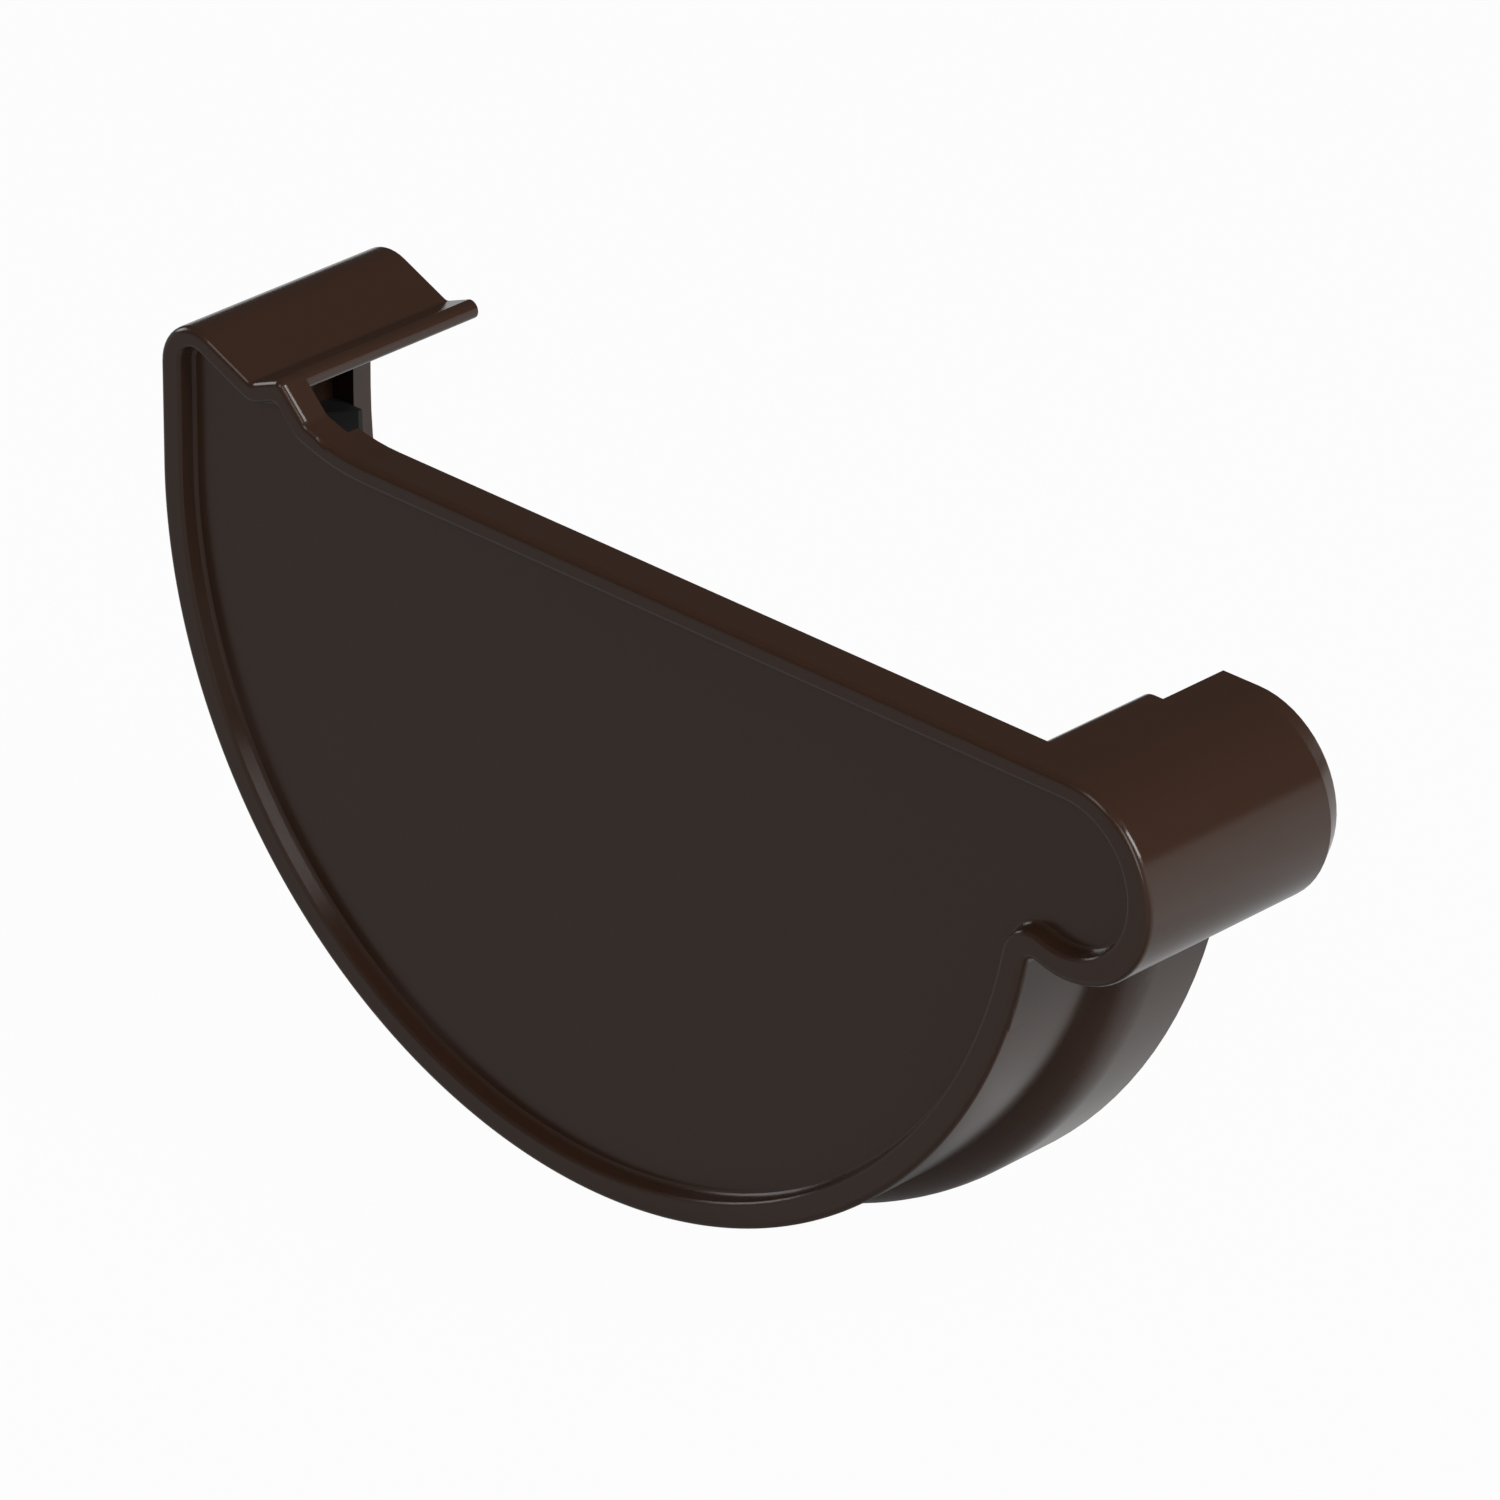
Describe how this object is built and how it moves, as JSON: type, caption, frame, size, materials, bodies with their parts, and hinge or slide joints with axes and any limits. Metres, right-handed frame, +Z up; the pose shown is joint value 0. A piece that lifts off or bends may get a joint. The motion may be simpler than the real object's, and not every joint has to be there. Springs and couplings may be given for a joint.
{
  "type": "gutter end cap",
  "caption": "End cap for a half-round gutter: rimmed plate, skirt with a seal band, cover for the round front bead and a clip over the back edge.",
  "frame": {"origin": "on the axis of the half-round trough, in the plane of the plate's raised rim", "axes": "+X from the wall side to the front bead, +Y into the gutter along its length, +Z up"},
  "size_m": [0.1522, 0.0303, 0.0879],
  "materials": {
    "brown_plastic": "semi-gloss moulded plastic, dark brown",
    "seal_rubber": "matt black rubber"
  },
  "bodies": {
    "root": {"cap_body": "brown_plastic", "seal_strip": "seal_rubber"}
  },
  "joints": []
}
